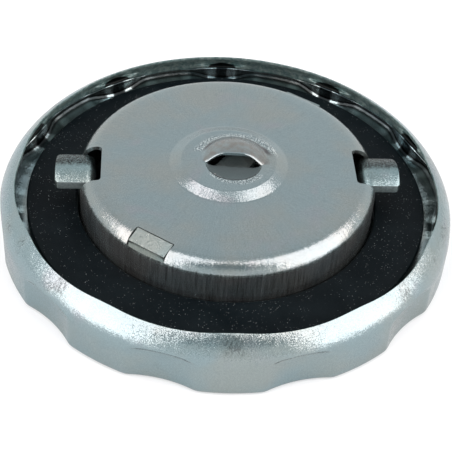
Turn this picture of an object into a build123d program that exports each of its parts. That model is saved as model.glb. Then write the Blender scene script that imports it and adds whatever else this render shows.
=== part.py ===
from build123d import *

import os
from math import atan2, degrees, hypot

# Vented bayonet fuel filler cap, pressed and zinc-plated steel.
# The cap lies on its outer face, as it is put down on a bench: the origin is the centre of that
# face, +Z points out of the underside into the filler neck, and the two bayonet lugs lie on X.
# Lengths are in millimetres and angles in degrees.

# --- outer shell: a fluted pressing whose rim curves in over the inner body
SHELL_RADIUS = 45.1            # over the lobes
SHELL_SHEET = 0.6
FLUTE_COUNT = 11
FLUTE_DEPTH = 1.4
FLUTE_RADIUS = 24.0            # of the round tool that presses each flute
FLUTE_PHASE = -107.5           # direction of the first flute, from +X
FLUTE_FADE_RADIUS = 2.2        # of the curve that ends each flute in the rolled rim
FLUTE_BLEND = 2.0              # rounding between flute and lobe
FACE_CORNER = 1.0              # rounding between the outer face and the fluted wall
ROLL_RADIUS = 6.3              # outside of the rolled rim
ROLL_DROP = 1.45               # the rim starts to curve this far below the gasket's top
LIP_RADIUS = 41.4              # across the sides of the rim's trimmed, eleven-sided edge
LIP_CORNER = 32.0              # rounding of that edge at every flute
GROOVE_INNER = 28.4            # stiffening groove in the outer face
GROOVE_OUTER = 33.4
GROOVE_DEPTH = 0.5
GROOVE_SLOPE = 0.8

# --- gasket and the face it seals on
SEAL_HEIGHT = 8.3              # top of the gasket
GASKET_THICKNESS = 2.3
GASKET_OUTER = 39.7
GASKET_INNER = 29.85
GASKET_EDGE = 0.35

# --- inner body: one pressing with the cup, the brim and the turned-up rim
BODY_SHEET = 0.8
CUP_RADIUS = 29.25
CUP_TOP = SEAL_HEIGHT + 8.0
CUP_CORNER = 3.0
CUP_ROOT = 0.6                 # rounding between the cup wall and the brim
BOSS_BASE = 11.7
BOSS_TOP = 9.3
BOSS_HEIGHT = 1.0
BOSS_EDGE = 0.8                # rounding of the boss's edge, and where it meets the cup's top
BOSS_ROOT = 1.2
RIM_GAP = 0.07                 # between the turned-up rim and the shell it is crimped in
RIM_HEIGHT = SEAL_HEIGHT - 0.5
RIM_CORNER = 0.5
BRIM_SPLIT = 36.0              # the brim is round inside this radius and fluted outside it

# --- louvre in the boss: an upper lid pushed out and a lower lip pushed in
EYE_X = 0.9                    # middle of the slit
EYE_Y = -1.2
EYE_TURN = -3.7
EYE_HALF_WIDTH = 5.5
EYE_LID_HEIGHT = 2.7
EYE_LID_REACH = 8.8            # how far the lid runs back from the slit
EYE_LIP_DEPTH = 1.15
EYE_LIP_REACH = 3.7            # how far the pushed-in lip runs from the slit
EYE_SHEET = 0.6

# --- bayonet bar: a gutter-shaped strip whose two ends are the lugs
LUG_TIP = 33.8
LUG_WIDTH = 8.5
LUG_SHEET = 1.8
LUG_CROWN = 0.8                # arch across the strip
LUG_LEVEL = SEAL_HEIGHT + 5.5  # middle of the sheet at the lug's edges
LUG_TIP_ROUND = 1.0
LEG_OFFSET = 27.05             # middle of each leg from the cap's axis
LEG_BEND = 2.2                 # between the legs and the bar
LUG_BEND = 1.0                 # between the legs and the lugs
BAR_LEVEL = SEAL_HEIGHT - 1.7  # middle of the sheet between the legs
LUG_WINDOW_INNER = 24.9
LUG_WINDOW_WIDTH = 10.2
LUG_WINDOW_SHIFT = -0.35       # the windows sit a little to one side of the bar
LUG_WINDOW_ROUND = 0.8
LUG_WINDOW_SILL = LUG_LEVEL - LUG_SHEET / 2 - 0.02

# --- bridge: the strip under the cup's top that holds the spring
BRIDGE_TURN = 54.4             # from the bayonet bar's direction
BRIDGE_SHIFT = -0.5            # sideways from the cap's axis
BRIDGE_WIDTH = 7.9
BRIDGE_WAIST = 5.6
BRIDGE_WAIST_END = 19.0
BRIDGE_WAIST_ROUND = 1.2
BRIDGE_SHEET = 1.25
TAB_INNER = 25.45
TAB_OUTER = 28.4
TAB_FALL = 0.9                 # the tab slopes down with the cup's corner
TAB_END = 1.0                  # height of its end face
TAB_GAP = 0.22
STRIP_CLEAR = 0.05             # over and under the bridge's low end
DIMPLE_RADIUS = 2.2
DIMPLE_DEPTH = 0.35
DIMPLE_OFFSET = 1.8

# --- conical spring between the bridge and the bayonet bar
SPRING_WIRE = 1.3
SPRING_TURNS = 2.5 + BRIDGE_TURN / 360     # from the bar's crest to under the bridge
SPRING_TOP_RADIUS = 7.6
SPRING_FOOT_RADIUS = 3.3
SPRING_GAP = 0.03              # above the bar's crest

# --- baffle plate and filter pad inside the shell
BAFFLE_RADIUS = 36.5
BAFFLE_SHEET = 0.8
BAFFLE_CORNER = 1.6
BAFFLE_VENT = 1.5
BAFFLE_NOTCHES = 4
BAFFLE_NOTCH_WIDTH = 5.0
BAFFLE_NOTCH_HEIGHT = 1.5
FILTER_RADIUS = 12.0

# --- heights that follow from the sheet thicknesses
ROLL_CENTRE = SEAL_HEIGHT - ROLL_DROP
BRIM_TOP = SEAL_HEIGHT - GASKET_THICKNESS
BRIM_UNDER = BRIM_TOP - BODY_SHEET
CUP_CEILING = CUP_TOP - BODY_SHEET
BOSS_FACE = CUP_TOP + BOSS_HEIGHT
BRIDGE_UNDER = CUP_CEILING - BRIDGE_SHEET
TAB_SILL = CUP_TOP - TAB_FALL - TAB_END
BAR_CREST = BAR_LEVEL + LUG_SHEET / 2 + LUG_CROWN
CLEAR = 60.0                   # cutting solids run this far past the part
FINE = 0.01                    # tolerance when an edge is picked by its size

os.makedirs("parts", exist_ok=True)


def cap_radius(half_chord, height):
    """Radius of the sphere whose cap has this half chord and height."""
    return (half_chord**2 + height**2) / (2 * height)


def rolled_section(skin, floor):
    """Half section of the shell's shape, one skin inside its surface, above a floor."""
    wall = SHELL_RADIUS - skin
    roll = ROLL_RADIUS - skin
    crown = ROLL_CENTRE + roll
    with BuildSketch(Plane.XZ) as section:
        with BuildLine():
            Polyline((0, crown), (0, floor), (wall, floor), (wall, ROLL_CENTRE))
            RadiusArc((wall, ROLL_CENTRE), (wall - roll, crown), -roll)
            Line((wall - roll, crown), (0, crown))
        make_face()
    return section.sketch


def flute_tool(skin):
    """Round tool, standing outside the wall, whose top curves away from the shell."""
    fade = FLUTE_FADE_RADIUS + skin
    reach = FLUTE_RADIUS + skin
    with BuildPart() as tool:
        with BuildSketch(Plane.XZ):
            with BuildLine():
                Polyline(
                    (reach - fade, ROLL_CENTRE + fade),
                    (0, ROLL_CENTRE + fade),
                    (0, -CLEAR),
                    (reach, -CLEAR),
                    (reach, ROLL_CENTRE),
                )
                RadiusArc((reach, ROLL_CENTRE), (reach - fade, ROLL_CENTRE + fade), -fade)
            make_face()
        revolve(axis=Axis.Z)
    return tool.part


def fluted_form(skin, floor):
    """Solid inside the fluted surface, one skin deep, standing on a floor."""
    tool = flute_tool(skin)
    with BuildPart() as form:
        add(rolled_section(skin, floor))
        revolve(axis=Axis.Z)
        with PolarLocations(
            SHELL_RADIUS - FLUTE_DEPTH + FLUTE_RADIUS, FLUTE_COUNT, start_angle=FLUTE_PHASE
        ):
            add(tool, mode=Mode.SUBTRACT)
    return form


def foot_edges(form, floor):
    """Edges round the foot of a fluted form."""
    return form.edges().filter_by(lambda edge: abs(edge.bounding_box().max.Z - floor) < FINE)


def shell_form(skin):
    """Outside of the shell (skin 0) or its hollow (skin one sheet deep), all edges rounded."""
    form = fluted_form(skin, skin)
    with form:
        sides = form.edges().filter_by(Axis.Z).filter_by(
            lambda edge: abs(edge.length - ROLL_CENTRE + skin) < FINE
        )
        tops = form.edges().filter_by(GeomType.BSPLINE)
        fillet(sides + tops, FLUTE_BLEND - skin)
        fillet(foot_edges(form, skin), FACE_CORNER - skin)
    return form.part


def groove_ring():
    """Ring with sloping sides that presses the stiffening groove into the outer face."""
    with BuildPart() as ring:
        with BuildSketch(Plane.XZ):
            with BuildLine():
                Polyline(
                    (GROOVE_INNER, 0),
                    (GROOVE_INNER + GROOVE_SLOPE, GROOVE_DEPTH),
                    (GROOVE_OUTER - GROOVE_SLOPE, GROOVE_DEPTH),
                    (GROOVE_OUTER, 0),
                    close=True,
                )
            make_face()
        revolve(axis=Axis.Z)
    return ring.part


def lip_opening():
    """Trimmed opening of the rim: eleven-sided, its corners at the flutes."""
    with BuildSketch(Plane.XY.offset(ROLL_CENTRE)) as opening:
        RegularPolygon(LIP_RADIUS, FLUTE_COUNT, major_radius=False, rotation=FLUTE_PHASE)
        fillet(opening.vertices(), LIP_CORNER)
    return opening.sketch


def make_outer_shell():
    """Fluted pressing with the rolled rim; the wall keeps one sheet thickness."""
    outside = shell_form(0)
    hollow = shell_form(SHELL_SHEET)
    with BuildPart() as shell:
        add(outside)
        add(hollow, mode=Mode.SUBTRACT)
        add(groove_ring().moved(Location((0, 0, SHELL_SHEET))))
        add(groove_ring(), mode=Mode.SUBTRACT)
        extrude(lip_opening(), amount=ROLL_RADIUS + FINE, mode=Mode.SUBTRACT)
    return shell


def body_section():
    """Half section of the inner body's sheet, from the axis out to the middle of the brim."""
    with BuildSketch(Plane.XZ) as section:
        with BuildLine():
            top = FilletPolyline(
                (0, BOSS_FACE),
                (BOSS_TOP, BOSS_FACE),
                (BOSS_BASE, CUP_TOP),
                (CUP_RADIUS, CUP_TOP),
                (CUP_RADIUS, BRIM_TOP),
                (BRIM_SPLIT, BRIM_TOP),
                radius=(BOSS_EDGE, BOSS_ROOT, CUP_CORNER, CUP_ROOT),
            )
            offset(top, amount=BODY_SHEET, side=Side.RIGHT)
        make_face()
    return section.sketch


def brim_form(skin, floor, corner):
    """Outside or hollow of the brim's pan, pressed in with the shell's flutes."""
    form = fluted_form(skin, floor)
    with form:
        fillet(foot_edges(form, floor), corner)
    return form.part


def fluted_brim():
    """Outer part of the brim with its rim, turned up and crimped to the shell's flutes."""
    skin = SHELL_SHEET + RIM_GAP
    outside = brim_form(skin, BRIM_UNDER, RIM_CORNER + BODY_SHEET)
    hollow = brim_form(skin + BODY_SHEET, BRIM_TOP, RIM_CORNER)
    with BuildPart() as brim:
        add(outside)
        add(hollow, mode=Mode.SUBTRACT)
        split(bisect_by=Plane.XY.offset(RIM_HEIGHT), keep=Keep.BOTTOM)
        with BuildSketch(Plane.XY.offset(BRIM_UNDER)):
            Circle(BRIM_SPLIT)
        extrude(amount=BODY_SHEET, mode=Mode.SUBTRACT)
    return brim.part


def eye_plane():
    """Plane of the boss face, turned along the louvre's slit."""
    return Plane((EYE_X, EYE_Y, BOSS_FACE)).rotated((0, 0, EYE_TURN))


def half_ball(centre_y, centre_z, radius, side):
    """Ball at the louvre, cut in half by the upright plane through its slit."""
    with BuildPart() as ball:
        with Locations((0, centre_y, centre_z)):
            Sphere(radius)
        split(bisect_by=Plane.XZ, keep=side)
    return ball


def louvre_lid(skin):
    """Half dome of the lid: its outside (skin 0) or its hollow (skin one sheet deep)."""
    radius = cap_radius(EYE_HALF_WIDTH, EYE_LID_HEIGHT)
    lid = half_ball(0, EYE_LID_HEIGHT - radius, radius - skin, Keep.BOTTOM)
    with lid:
        split(bisect_by=Plane.XY.offset(-BODY_SHEET), keep=Keep.TOP)
        scale(by=(1, EYE_LID_REACH / EYE_HALF_WIDTH, 1))
    return lid.part.moved(eye_plane().location)


def louvre_lip(skin):
    """Half bowl of the pushed-in lip: its inside (skin 0) or its underside (skin one sheet)."""
    bowl = cap_radius(EYE_HALF_WIDTH, EYE_LIP_REACH)
    rise = (EYE_HALF_WIDTH**2 - EYE_LIP_DEPTH**2) / (2 * EYE_LIP_DEPTH)
    lip = half_ball(bowl - EYE_LIP_REACH, rise, hypot(bowl, rise) + skin, Keep.TOP)
    with lip:
        split(bisect_by=Plane.XY, keep=Keep.BOTTOM)
    return lip.part.moved(eye_plane().location)


def make_inner_body():
    """Cup, brim and rim in one pressing, with lug and tab windows and the louvre."""
    with BuildPart() as body:
        add(body_section())
        revolve(axis=Axis.Z)
        add(fluted_brim())

        add(louvre_lid(0))
        add(louvre_lid(EYE_SHEET), mode=Mode.SUBTRACT)
        add(louvre_lip(EYE_SHEET))
        add(louvre_lip(0), mode=Mode.SUBTRACT)

        # windows for the lugs, through the cup's corner and upper wall
        with BuildSketch(Plane.XY.offset(LUG_WINDOW_SILL)):
            for side in (-1, 1):
                with Locations((side * (LUG_WINDOW_INNER + CUP_CORNER), LUG_WINDOW_SHIFT)):
                    RectangleRounded(2 * CUP_CORNER, LUG_WINDOW_WIDTH, LUG_WINDOW_ROUND)
        extrude(amount=CUP_TOP, mode=Mode.SUBTRACT)

        # windows for the bridge's two ends: open above the tab, and low in the cup's corner
        window_middle = TAB_INNER - TAB_GAP + CUP_CORNER
        with BuildSketch(bridge_level(TAB_SILL)):
            with Locations((-window_middle, BRIDGE_SHIFT)):
                Rectangle(2 * CUP_CORNER, BRIDGE_WIDTH + 2 * TAB_GAP)
        extrude(amount=CUP_TOP, mode=Mode.SUBTRACT)
        with BuildSketch(bridge_level(BRIDGE_UNDER - STRIP_CLEAR)):
            with Locations((window_middle, BRIDGE_SHIFT)):
                Rectangle(2 * CUP_CORNER, BRIDGE_WIDTH + 2 * TAB_GAP)
        extrude(amount=BRIDGE_SHEET + 2 * STRIP_CLEAR, mode=Mode.SUBTRACT)
    return body


def make_gasket():
    """Flat rubber ring on the brim, its upper edges a little rounded."""
    with BuildPart() as ring:
        with BuildSketch(Plane.XY.offset(BRIM_TOP)):
            Circle(GASKET_OUTER)
            Circle(GASKET_INNER, mode=Mode.SUBTRACT)
        extrude(amount=GASKET_THICKNESS)
        fillet(ring.edges().group_by(Axis.Z)[-1], GASKET_EDGE)
    return ring


def make_bayonet_bar():
    """Arched strip, bent down at both legs, whose ends stand out of the cup as lugs."""
    half = LUG_WIDTH / 2
    skin = LUG_SHEET / 2
    with BuildPart() as bar:
        with BuildLine(Plane.XZ):
            FilletPolyline(
                (-LUG_TIP, LUG_LEVEL),
                (-LEG_OFFSET, LUG_LEVEL),
                (-LEG_OFFSET, BAR_LEVEL),
                (LEG_OFFSET, BAR_LEVEL),
                (LEG_OFFSET, LUG_LEVEL),
                (LUG_TIP, LUG_LEVEL),
                radius=(LUG_BEND, LEG_BEND, LEG_BEND, LUG_BEND),
            )
        with BuildSketch(Plane((-LUG_TIP, 0, LUG_LEVEL), x_dir=(0, 1, 0), z_dir=(1, 0, 0))):
            with BuildLine():
                ThreePointArc((-half, -skin), (0, LUG_CROWN - skin), (half, -skin))
                Line((half, -skin), (half, skin))
                ThreePointArc((half, skin), (0, LUG_CROWN + skin), (-half, skin))
                Line((-half, skin), (-half, -skin))
            make_face()
        sweep()
        tips = bar.edges().filter_by(Axis.Z).filter_by(
            lambda edge: abs(abs(edge.center().X) - LUG_TIP) < FINE
        )
        fillet(tips, LUG_TIP_ROUND)
    return bar


def bridge_level(height):
    """Level plane with its x axis along the bridge."""
    return Plane.XY.offset(height).rotated((0, 0, BRIDGE_TURN))


def make_bridge_bar():
    """Waisted strip against the cup's ceiling: one end is a raised tab, the other plain."""
    along = bridge_level(0)
    upright = Plane(along.y_dir * BRIDGE_SHIFT, x_dir=along.x_dir, z_dir=-along.y_dir)
    waist_side = (BRIDGE_WAIST + BRIDGE_WIDTH) / 2
    with BuildPart() as bridge:
        with BuildSketch(upright):
            with BuildLine():
                Polyline(
                    (TAB_OUTER, BRIDGE_UNDER),
                    (TAB_OUTER, CUP_CEILING),
                    (-TAB_INNER, CUP_CEILING),
                    (-TAB_INNER, CUP_TOP),
                    (-TAB_OUTER, CUP_TOP - TAB_FALL),
                    (-TAB_OUTER, TAB_SILL),
                    (BODY_SHEET - TAB_OUTER, TAB_SILL),
                    (-TAB_INNER, BRIDGE_UNDER),
                    close=True,
                )
            make_face()
        extrude(amount=BRIDGE_WIDTH / 2, both=True)
        with BuildSketch(bridge_level(BRIDGE_UNDER)):
            with Locations((0, BRIDGE_SHIFT - waist_side), (0, BRIDGE_SHIFT + waist_side)):
                RectangleRounded(2 * BRIDGE_WAIST_END, BRIDGE_WIDTH, BRIDGE_WAIST_ROUND)
        extrude(amount=BRIDGE_SHEET, mode=Mode.SUBTRACT)
        dimple = cap_radius(DIMPLE_RADIUS, DIMPLE_DEPTH)
        with Locations(bridge_level(CUP_CEILING)):
            with Locations((DIMPLE_OFFSET, BRIDGE_SHIFT, dimple - DIMPLE_DEPTH)):
                Sphere(dimple, mode=Mode.SUBTRACT)
    return bridge


def make_lug_spring():
    """Conical coil, wide end under the bridge, narrow end on the bar's crest."""
    foot = BAR_CREST + SPRING_WIRE / 2 + SPRING_GAP
    rise = BRIDGE_UNDER - SPRING_WIRE / 2 - foot
    spread = degrees(atan2(SPRING_TOP_RADIUS - SPRING_FOOT_RADIUS, rise))
    with BuildPart() as spring:
        with BuildLine() as coil:
            Helix(rise / SPRING_TURNS, rise, SPRING_FOOT_RADIUS, center=(0, 0, foot), cone_angle=spread)
        with BuildSketch(coil.line ^ 0):
            Circle(SPRING_WIRE / 2)
        sweep(is_frenet=True)
    return spring


def make_baffle_plate():
    """Shallow pan, upside down between the shell's floor and the brim, with its vents."""
    height = BRIM_UNDER - SHELL_SHEET
    with BuildPart() as baffle:
        with BuildSketch(Plane.XY.offset(SHELL_SHEET)):
            Circle(BAFFLE_RADIUS)
        extrude(amount=height)
        fillet(baffle.edges().group_by(Axis.Z)[-1], BAFFLE_CORNER)
        offset(amount=-BAFFLE_SHEET, openings=baffle.faces().sort_by(Axis.Z)[0])
        with BuildSketch(Plane.XY.offset(SHELL_SHEET)):
            Circle(BAFFLE_VENT)
        extrude(amount=height, mode=Mode.SUBTRACT)
        with BuildSketch(Plane.XY.offset(SHELL_SHEET)):
            with PolarLocations(BAFFLE_RADIUS, BAFFLE_NOTCHES, start_angle=BRIDGE_TURN):
                Rectangle(4 * BAFFLE_SHEET, BAFFLE_NOTCH_WIDTH)
        extrude(amount=BAFFLE_NOTCH_HEIGHT, mode=Mode.SUBTRACT)
    return baffle


def make_vent_filter():
    """Round pad held between the shell's floor and the baffle."""
    with BuildPart() as pad:
        with BuildSketch(Plane.XY.offset(SHELL_SHEET)):
            Circle(FILTER_RADIUS)
        extrude(amount=BRIM_UNDER - BAFFLE_SHEET - SHELL_SHEET)
    return pad


outer_shell = make_outer_shell()
outer_shell.part.label = "outer_shell"
export_step(outer_shell.part, "parts/outer_shell.step")

inner_body = make_inner_body()
inner_body.part.label = "inner_body"
export_step(inner_body.part, "parts/inner_body.step")

gasket = make_gasket()
gasket.part.label = "gasket"
export_step(gasket.part, "parts/gasket.step")

bayonet_bar = make_bayonet_bar()
bayonet_bar.part.label = "bayonet_bar"
export_step(bayonet_bar.part, "parts/bayonet_bar.step")

bridge_bar = make_bridge_bar()
bridge_bar.part.label = "bridge_bar"
export_step(bridge_bar.part, "parts/bridge_bar.step")

lug_spring = make_lug_spring()
lug_spring.part.label = "lug_spring"
export_step(lug_spring.part, "parts/lug_spring.step")

baffle_plate = make_baffle_plate()
baffle_plate.part.label = "baffle_plate"
export_step(baffle_plate.part, "parts/baffle_plate.step")

vent_filter = make_vent_filter()
vent_filter.part.label = "vent_filter"
export_step(vent_filter.part, "parts/vent_filter.step")
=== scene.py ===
import math

import bmesh
import bpy
import numpy as np
from mathutils import Matrix, Vector


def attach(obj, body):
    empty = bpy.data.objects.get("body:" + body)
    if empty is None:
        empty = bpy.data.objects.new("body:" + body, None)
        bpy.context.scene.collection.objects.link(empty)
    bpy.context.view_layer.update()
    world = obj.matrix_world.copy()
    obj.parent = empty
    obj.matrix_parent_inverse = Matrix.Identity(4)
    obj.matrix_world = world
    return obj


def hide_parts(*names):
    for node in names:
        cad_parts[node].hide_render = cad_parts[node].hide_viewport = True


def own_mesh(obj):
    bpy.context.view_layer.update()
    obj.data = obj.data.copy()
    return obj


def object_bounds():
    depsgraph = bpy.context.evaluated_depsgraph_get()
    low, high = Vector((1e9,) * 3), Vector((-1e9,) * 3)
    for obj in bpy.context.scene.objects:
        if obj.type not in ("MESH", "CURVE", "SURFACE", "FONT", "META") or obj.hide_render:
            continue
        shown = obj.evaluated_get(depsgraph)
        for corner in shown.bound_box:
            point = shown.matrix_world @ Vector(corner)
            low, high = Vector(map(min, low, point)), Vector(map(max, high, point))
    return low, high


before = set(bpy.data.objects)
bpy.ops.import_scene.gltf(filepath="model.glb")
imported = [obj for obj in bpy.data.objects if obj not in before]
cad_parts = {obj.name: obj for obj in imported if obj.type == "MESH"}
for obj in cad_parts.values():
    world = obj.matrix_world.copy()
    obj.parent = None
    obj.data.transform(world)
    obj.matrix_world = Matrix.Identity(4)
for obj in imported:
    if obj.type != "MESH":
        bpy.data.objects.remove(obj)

# Vented bayonet fuel filler cap, zinc-plated steel, lying on its outer face.
# Lengths below are in millimetres unless a name says otherwise; MM brings them to metres.
MM = 0.001
cad_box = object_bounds()

# ---------------------------------------------------------------- sizes, as in the part
SEAL = 8.3                     # top of the gasket

SHELL_RADIUS = 45.1            # over the lobes
SHELL_SHEET = 0.6
FLUTE_COUNT = 11
FLUTE_DEPTH = 1.4
FLUTE_TOOL = 24.0              # radius of the round tool that presses each flute
FLUTE_PHASE = math.radians(-107.5)
FLUTE_FADE = 2.2               # radius of the curve that ends each flute in the rolled rim
FACE_CORNER = 1.0
ROLL = 6.3                     # outside of the rolled rim
ROLL_CENTRE = SEAL - 1.45
LIP_RADIUS = 41.4              # across the sides of the rim's trimmed, eleven-sided edge
LIP_CORNER = 32.0
GROOVE_INNER = 28.4            # stiffening groove in the outer face
GROOVE_OUTER = 33.4
GROOVE_DEPTH = 0.5

GASKET_THICKNESS = 2.3
GASKET_OUTER = 39.7
GASKET_INNER = 29.85
GASKET_EDGE = 0.35

BODY_SHEET = 0.8
CUP_RADIUS = 29.25
CUP_TOP = SEAL + 8.0
CUP_CEILING = CUP_TOP - BODY_SHEET
CUP_CORNER = 3.0
CUP_ROOT = 0.6
BOSS_BASE = 11.7
BOSS_TOP = 9.3
BOSS_FACE = CUP_TOP + 1.0
BOSS_EDGE = 0.8
BOSS_ROOT = 1.2
BRIM_TOP = SEAL - GASKET_THICKNESS
BRIM_SPLIT = 36.0              # the brim is round inside this radius
RIM_GAP = 0.07                 # between the turned-up rim and the shell it is crimped in

EYE = (0.9, -1.2)              # middle of the louvre's slit
EYE_TURN = math.radians(-3.7)
EYE_HALF_WIDTH = 5.5
EYE_LID_HEIGHT = 2.7
EYE_LID_REACH = 8.8            # how far the lid runs back from the slit
EYE_SHEET = 0.6

LUG_TIP = 33.8
LUG_WIDTH = 8.5
LUG_SHEET = 1.8
LUG_CROWN = 0.8                # arch across the strip
LUG_LEVEL = SEAL + 5.5
LUG_BEND = 1.0
LUG_TIP_ROUND = 1.0
LEG_OFFSET = 27.05
LEG_BEND = 2.2
BAR_LEVEL = SEAL - 1.7
BAR_CREST = BAR_LEVEL + LUG_SHEET / 2 + LUG_CROWN
WINDOW_INNER = 24.9
WINDOW_WIDTH = 10.2
WINDOW_SHIFT = -0.35
WINDOW_SILL = LUG_LEVEL - LUG_SHEET / 2 - 0.02
WINDOW_ROUND = 0.8

BRIDGE_TURN = math.radians(54.4)
BRIDGE_SHIFT = -0.5
BRIDGE_WIDTH = 7.9
BRIDGE_SHEET = 1.25
BRIDGE_UNDER = CUP_CEILING - BRIDGE_SHEET
TAB_INNER = 25.45
TAB_SILL = CUP_TOP - 1.9
TAB_GAP = 0.22
STRIP_CLEAR = 0.05             # over and under the bridge's low end

SPRING_WIRE = 1.3
SPRING_TURNS = 2.5 + math.degrees(BRIDGE_TURN) / 360
SPRING_TOP_RADIUS = 7.6
SPRING_FOOT_RADIUS = 3.3
SPRING_GAP = 0.03              # over the bar's crest

# ---------------------------------------------------------------- sizes of the looks alone
EDGE_ROUND = 0.12              # wear on a sheared edge
STRIP_ROUND = 1.6 * EDGE_ROUND
LUG_ARCH_FULL = LEG_OFFSET + 1.2   # the strip's arch is whole from here to the lug's tip
LUG_ARCH_FADE = 2.0
LEG_FOOT = BAR_LEVEL + 3.0     # above this the strip is a leg or a lug
TAB_WINDOW_ROUND = 0.15
GROOVE_EASE = 1.2              # run of the groove's rounded sides
FLUTE_MEETS = 0.52             # where a flute meets a lobe, from its middle (0) to the lobe's (1)
SHELL_BLEND = 0.3              # reach of the rounding between flute and lobe
RIM_BLEND = 0.6
LEDGE_TOP = SEAL + 0.85        # inside the shell a flute ends in a ledge
LEDGE_FALL = 0.55
LEDGE_REACH = 1.3
RIM_HEIGHT = SEAL - 0.6
RIM_RISE = 0.8                 # how far the rim's edge stands up, per millimetre that it is pinched in
RIM_CORNER = 1.2
RIM_EDGE = 0.18                # rounding of the rim's edge
RIM_SHEET = 0.45               # the sheet thins towards the rim's edge
FLARE_START = 40.3             # the brim rises from here to the foot of the rim
FLARE_SLOPE = math.tan(math.radians(12.0))
FLARE_SPREAD = math.radians(6.5)
BOSS_INNER = 9.0               # the louvre's field, inside the boss's edge
EYE_LIP_DEPTH = 0.80
EYE_LIP_REACH = 5.1            # how far the pushed-in lip runs from the slit


# ---------------------------------------------------------------- mesh helpers
def new_piece(name, points, faces):
    """Mesh object from points in millimetres."""
    mesh = bpy.data.meshes.new(name)
    mesh.from_pydata([tuple(p) for p in np.asarray(points, float) * MM], [], faces)
    mesh.validate()
    mesh.update()
    piece = bpy.data.objects.new(name, mesh)
    bpy.context.scene.collection.objects.link(piece)
    return piece


def ring_faces(rows, columns, start=0):
    """Quads between rows of a grid whose columns run round."""
    faces = []
    for i in range(rows - 1):
        for j in range(columns):
            k = (j + 1) % columns
            a = start + i * columns
            faces.append((a + j, a + k, a + columns + k, a + columns + j))
    return faces


def lathe(name, rings, first=None, last=None):
    """Surface through rings of points (rows, columns, 3); first and last close its ends."""
    rows, columns = rings.shape[:2]
    points = rings.reshape(-1, 3)
    faces = ring_faces(rows, columns)
    if first is not None:
        points = np.vstack([points, first])
        hub = len(points) - 1
        faces += [(hub, (j + 1) % columns, j) for j in range(columns)]
    if last is not None:
        points = np.vstack([points, last])
        hub = len(points) - 1
        row = (rows - 1) * columns
        faces += [(hub, row + j, row + (j + 1) % columns) for j in range(columns)]
    return new_piece(name, points, faces)


class Rings:
    """Rings of points round the cap's axis, in the order in which lathe joins them."""

    def __init__(self, turn):
        self.turn = turn
        self.rows = []

    def add(self, radius, z):
        """One ring: its radius and height are one value each, or one for every angle."""
        radius, z = (np.broadcast_to(value, self.turn.shape) for value in (radius, z))
        self.rows.append(np.stack([radius * np.cos(self.turn), radius * np.sin(self.turn), z], -1))


def use_modifier(piece, kind, **settings):
    """Adds a modifier and applies it at once."""
    modifier = piece.modifiers.new(kind, kind)
    for key, value in settings.items():
        setattr(modifier, key, value)
    graph = bpy.context.evaluated_depsgraph_get()
    mesh = bpy.data.meshes.new_from_object(piece.evaluated_get(graph))
    piece.modifiers.clear()
    piece.data = mesh


def cut(piece, tool):
    """Takes the tool's volume out of the piece and removes the tool."""
    use_modifier(piece, "BOOLEAN", operation="DIFFERENCE", solver="EXACT", object=tool)
    bpy.data.objects.remove(tool)


def smooth(piece, angle=30.0):
    """Smooth shading with sharp edges where the surface turns by more than the angle."""
    piece.data.shade_smooth()
    piece.data.set_sharp_from_angle(angle=math.radians(angle))


def prism(name, outline, low, high):
    """Upright block from an outline of (x, y) points, between two heights."""
    count = len(outline)
    points = [(x, y, low) for x, y in outline] + [(x, y, high) for x, y in outline]
    faces = [tuple(reversed(range(count))), tuple(range(count, 2 * count))]
    faces += [(i, (i + 1) % count, count + (i + 1) % count, count + i) for i in range(count)]
    return new_piece(name, points, faces)


def spun(x, y, turn):
    """The point (x, y) turned about the cap's axis."""
    return x * math.cos(turn) - y * math.sin(turn), x * math.sin(turn) + y * math.cos(turn)


def rounded_box(centre, size, radius, turn=0.0, steps=6):
    """Outline of a rectangle with rounded corners, turned about the cap's axis."""
    half = np.array(size) / 2 - radius
    outline = []
    for quarter, (sx, sy) in enumerate(((1, 1), (-1, 1), (-1, -1), (1, -1))):
        for step in range(steps + 1):
            a = math.pi / 2 * (quarter + step / steps)
            x = centre[0] + sx * half[0] + radius * math.cos(a)
            y = centre[1] + sy * half[1] + radius * math.sin(a)
            outline.append(spun(x, y, turn))
    return outline


def arc(centre, radius, start, end, steps):
    """Points (r, z) along an arc, angles in degrees from outward, counter-clockwise."""
    a = np.radians(np.linspace(start, end, steps))
    return np.stack([centre[0] + radius * np.cos(a), centre[1] + radius * np.sin(a)], -1)


def smooth_min(a, b, reach):
    """Lesser of two values, rounded where they cross."""
    near = np.clip(reach - np.abs(a - b), 0, None) / reach
    return np.minimum(a, b) - near**2 * reach / 4


def ease(t):
    """Smooth step from 0 to 1."""
    t = np.clip(t, 0, 1)
    return t * t * (3 - 2 * t)


# ---------------------------------------------------------------- outer shell
def flute_angle(turn):
    """Angle from the middle of the nearest flute."""
    pitch = 2 * math.pi / FLUTE_COUNT
    return (turn - FLUTE_PHASE + pitch / 2) % pitch - pitch / 2


def lobe_radius(z, skin):
    """Radius of the shell between flutes, one skin inside its surface."""
    above = np.clip(z - ROLL_CENTRE, 0, ROLL - skin)
    return SHELL_RADIUS - ROLL + np.sqrt((ROLL - skin) ** 2 - above**2)


def flute_wall(turn, tool, z, skin, blend):
    """Radius of the shell where round tools of a given radius have pressed its flutes."""
    a = flute_angle(turn)
    axis = SHELL_RADIUS - FLUTE_DEPTH + FLUTE_TOOL
    under = tool**2 - (axis * np.sin(a)) ** 2
    pressed = axis * np.cos(a) - np.sqrt(np.clip(under, 0, None))
    flute = np.where(under > 0, pressed, 2 * SHELL_RADIUS)
    return smooth_min(flute, lobe_radius(z, skin) + np.zeros_like(flute), blend)


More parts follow.
